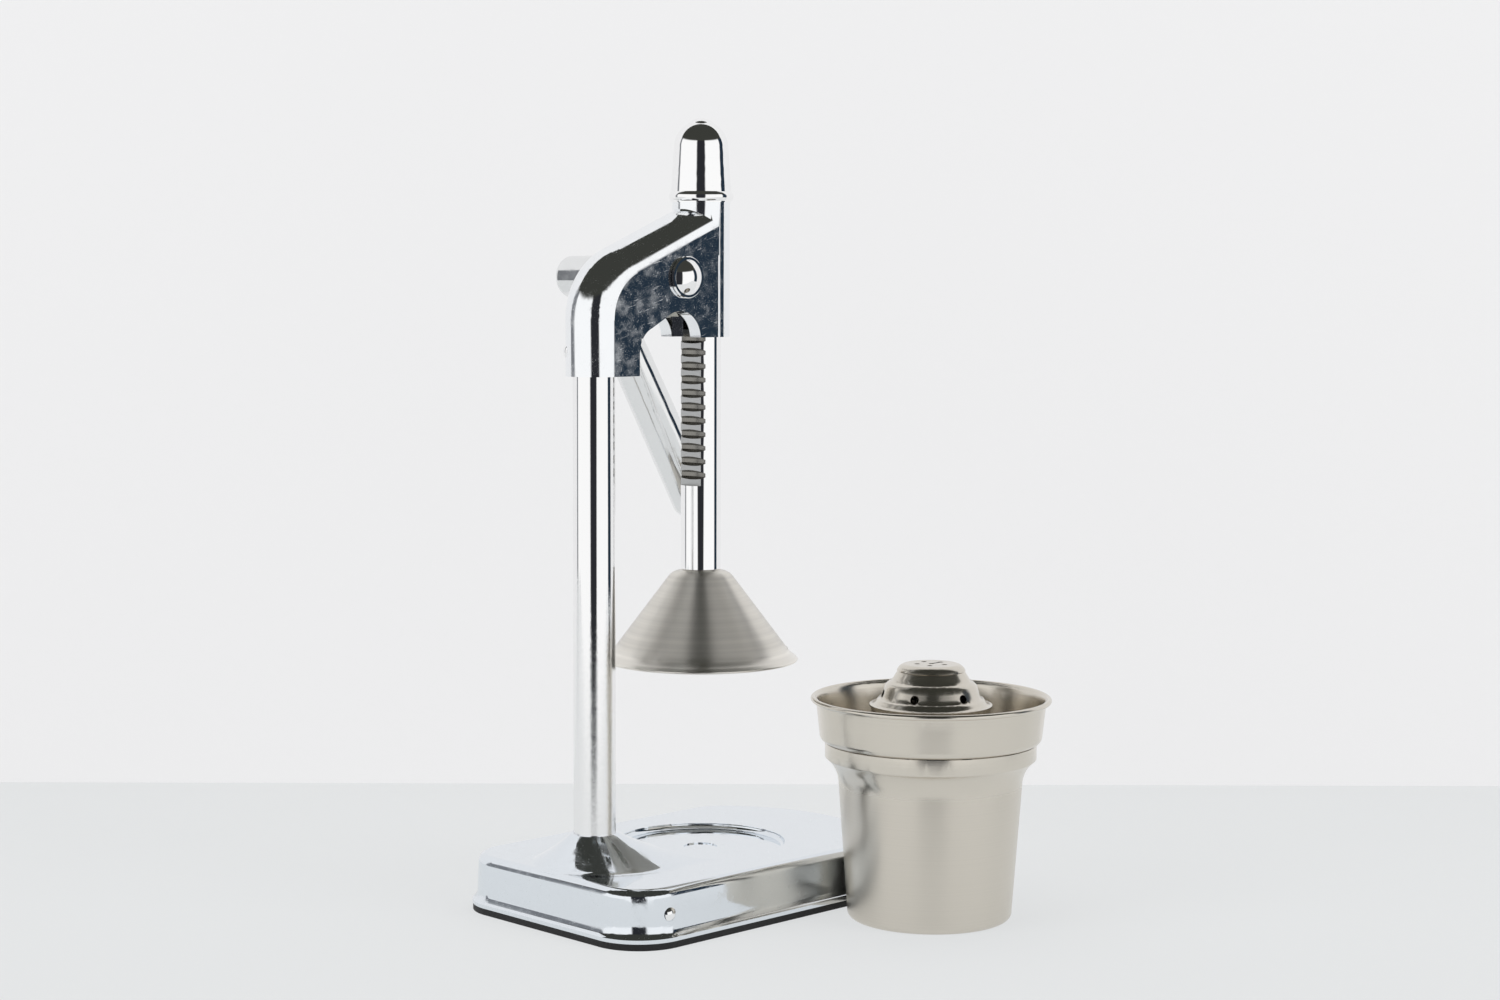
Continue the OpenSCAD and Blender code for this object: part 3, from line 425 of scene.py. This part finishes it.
machined_steel = plain("machined_steel", "#a9a79f", 1.0, 0.3, 0.8, 0.01)
ground_tips = plain("ground_tooth_tips", "#c2c3c3", 1.0, 0.36, 0.7, 0.02)
# The gaps of the rack take a darker steel: painted shade for the dark lines between the teeth.
shaded_tooth_gaps = plain("painted_shade_tooth_gaps", "#8a8883", 1.0, 0.26, 0.6, 0.02)
sintered_bronze = plain("sintered_bronze", "#a8814a", 1.0, 0.4, 0.6, 0.01)
black_rubber = plain("black_rubber", "#161617", 0.0, 0.62, 0.7, 0.02)
print("finishes:", machined_steel.name, sintered_bronze.name, black_rubber.name)

# %% [markdown]
# Each solid of the frame takes the finish of the part it is.

# %% Finishes on the frame
FINISH_OF = {
    "base_shell": base_plate, "base_edging": black_rubber, "base_rivets": chrome,
    "column_tube": tube_chrome, "column_plug": machined_steel, "column_washer": machined_steel,
    "column_bolt": machined_steel, "head_casting": head_plate, "collar_screw": chrome,
    "shaft_bushes": sintered_bronze, "dome_cap": chrome, "press_rod": chrome,
    "stop_washer": machined_steel, "stop_screw": machined_steel, "press_cone": cone_sheet,
    "cone_washer": machined_steel, "cone_screw": machined_steel, "pinion": machined_steel,
    "pinion_shaft": machined_steel, "pinion_key": machined_steel, "cap_nut": chrome,
    "thrust_washer": sintered_bronze, "lever_hub": lever_chrome, "hub_pin": machined_steel,
    "lever_stud": machined_steel, "lever_handle": lever_chrome, "lever_end_plug": lever_chrome,
    "cup": cup_sheet, "strainer_bowl": cup_sheet, "reamer_dome": cup_sheet,
}
for name, finish in FINISH_OF.items():
    slots = frame["nodes"][name].data.materials
    if len(slots) == 0:
        slots.append(finish)
    for i in range(len(slots)):
        slots[i] = finish
print("dressed:", len(FINISH_OF))

# %% [markdown]
# ## Smooth pieces
# A crease is kept wherever two faces meet at more than a set angle, and everything else is shaded
# smooth. Normals weighted by face area then keep the broad flats flat right up to their rounded
# edges. The cheeks of the head are ground flat, so round them even a slight bend counts as a
# crease, or the roundings beside them would bleed into the mirror.

# %% Placing a piece
record = frame["record"]
BODY_OF = {n: body for body, nodes in record["behaviour"]["bodies"].items() for n in nodes}
FLAT_CHEEKED = ["head_casting"]
FACES_ALONG_Y = 0.99999
CHEEK_CREASE = 2


def place_piece(name, shape, finishes, node, crease):
    """Turns a bmesh into a smooth piece that stands in for a node, on the node's own body."""
    for face in shape.faces:
        face.smooth = True
    for edge in shape.edges:
        bend = edge.calc_face_angle(0)
        by_a_cheek = node in FLAT_CHEEKED and any(
            abs(face.normal.y) > FACES_ALONG_Y for face in edge.link_faces)
        edge.smooth = bend < radians(crease) and not (by_a_cheek and bend > radians(CHEEK_CREASE))
    mesh = bpy.data.meshes.new(name)
    shape.to_mesh(mesh)
    shape.free()
    for finish in finishes:
        mesh.materials.append(finish)
    piece = bpy.data.objects.new(name, mesh)
    bpy.context.scene.collection.objects.link(piece)
    even = piece.modifiers.new("even_normals", "WEIGHTED_NORMAL")
    even.keep_sharp = True
    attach(piece, BODY_OF[node])
    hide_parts(node)


print("bodies:", sorted(set(BODY_OF.values())))

# %% [markdown]
# A solid arrives as loose flat triangles, so a copy of it has its doubled corners merged before it
# is shaded smooth. The number beside each node is its crease in degrees. Spun sheet has soft steps,
# so only its steep edges count there.

# %% Smooth copies
MERGE_WITHIN = 0.002 * MM


def merged_copy(node):
    """A bmesh of a node with its doubled corners merged."""
    shape = bmesh.new()
    shape.from_mesh(frame["nodes"][node].data)
    bmesh.ops.remove_doubles(shape, verts=shape.verts, dist=MERGE_WITHIN)
    shape.normal_update()
    return shape


CREASE_OF = {
    "base_shell": 38, "head_casting": 24, "base_rivets": 40, "column_tube": 30, "collar_screw": 40,
    "dome_cap": 30, "cap_nut": 30, "lever_hub": 30, "lever_handle": 30, "lever_end_plug": 30,
    "cup": 80, "strainer_bowl": 80, "reamer_dome": 80, "base_edging": 30, "pinion": 20,
}
for node, crease in CREASE_OF.items():
    place_piece(f"{node}_finished", merged_copy(node), [FINISH_OF[node]], node, crease)
print("smooth pieces:", len(CREASE_OF))

# %% [markdown]
# On the press rod the tips of the rack are left as the grinder left them, so they take a duller
# finish than the plated round. The gaps take a darker steel colour, which is painted shade for the
# dark lines between the teeth. A face is a tip if it lies in the plane of the tips and looks that
# way. It is in a gap if its middle lies well inside the round.

# %% Press rod
TIP_PLANE, INSIDE_THE_ROUND, RACK_FOOT = -6.4 * MM, 9.1 * MM, 190 * MM
TIP_NEARNESS, TIP_FACING = 0.1 * MM, -0.98
PLATED, TIP, GAP_FACE = 0, 1, 2
rod_finishes = [chrome, ground_tips, shaded_tooth_gaps]
rod = merged_copy("press_rod")
faces_of = [0, 0, 0]
for face in rod.faces:
    centre = face.calc_center_median()
    kind = PLATED
    if abs(centre.x - TIP_PLANE) < TIP_NEARNESS and face.normal.x < TIP_FACING:
        kind = TIP
    elif centre.z > RACK_FOOT and centre.xy.length < INSIDE_THE_ROUND and centre.x < 0:
        kind = GAP_FACE
    face.material_index = kind
    faces_of[kind] += 1
place_piece("press_rod_finished", rod, rod_finishes, "press_rod", 20)
print("rod faces, plated, tips and gaps:", faces_of)

# %% [markdown]
# The press cone is spun from sheet over a former. Near its lip the sheet flares out to a stiff
# edge, which mirrors the light panels as bright patches. The wall is drawn as a closed line, out
# along the outside and back along the inside, and spun about the rod's axis.

# %% Spinning and arcs
def spin_closed(line, steps):
    """A bmesh of a closed line of (radius, height) in millimetres, spun about the Z axis."""
    shape = bmesh.new()
    corners = [shape.verts.new((r * MM, 0, z * MM)) for r, z in line]
    edges = [shape.edges.new((a, b)) for a, b in zip(corners, corners[1:] + corners[:1])]
    bmesh.ops.spin(shape, geom=corners + edges, axis=(0, 0, 1), cent=(0, 0, 0), dvec=(0, 0, 0),
                   angle=2 * pi, steps=steps, use_merge=True, use_duplicate=False)
    bmesh.ops.remove_doubles(shape, verts=shape.verts, dist=MERGE_WITHIN)
    bmesh.ops.recalc_face_normals(shape, faces=shape.faces)
    return shape


def bow(centre, radius, start, end, count):
    """Points along an arc, in degrees, from start to end."""
    return [(centre[0] + radius * cos(radians(start + (end - start) * n / count)),
             centre[1] + radius * sin(radians(start + (end - start) * n / count)))
            for n in range(count + 1)]


print("a quarter arc has", len(bow((0, 0), 1, 0, 90, 6)), "points")

# %% Press cone
HOLE_R, TOP_Z, LIP_Z, LIP_R, SHEET = 4.2, 154.0, 111.3, 45.4, 1.6
SHOULDER_R, SHOULDER_OUT, WALL_TURN = 7, 9.5, 36
WALL_FOOT = [(39.9, 118.2), (40.7, 117.1)]
FLARE_CENTRE, FLARE_R, FLARE_FROM, FLARE_TO = (48.4, 121.6), 8.8, 208, 242
BEAD_R, BEAD_UP = 0.55, 1.1
INNER_FLARE = [(42.6, LIP_Z), (39.0, 115.4), (37.9, 117.6)]
CONE_STEPS = 160

shoulder = (SHOULDER_OUT, TOP_Z - SHOULDER_R)
bead = (LIP_R - BEAD_R, LIP_Z + BEAD_UP)
outside = [(HOLE_R, TOP_Z)] + bow(shoulder, SHOULDER_R, 90, WALL_TURN, 8) + WALL_FOOT
outside += bow(FLARE_CENTRE, FLARE_R, FLARE_FROM, FLARE_TO, 8) + bow(bead, BEAD_R, 60, -90, 6)
inside = INNER_FLARE + bow(shoulder, SHOULDER_R - SHEET, WALL_TURN, 90, 6)
inside += [(HOLE_R, TOP_Z - SHEET)]
cone = spin_closed(outside + inside, CONE_STEPS)
print("cone faces:", len(cone.faces))
place_piece("press_cone_finished", cone, [cone_sheet], "press_cone", 40)
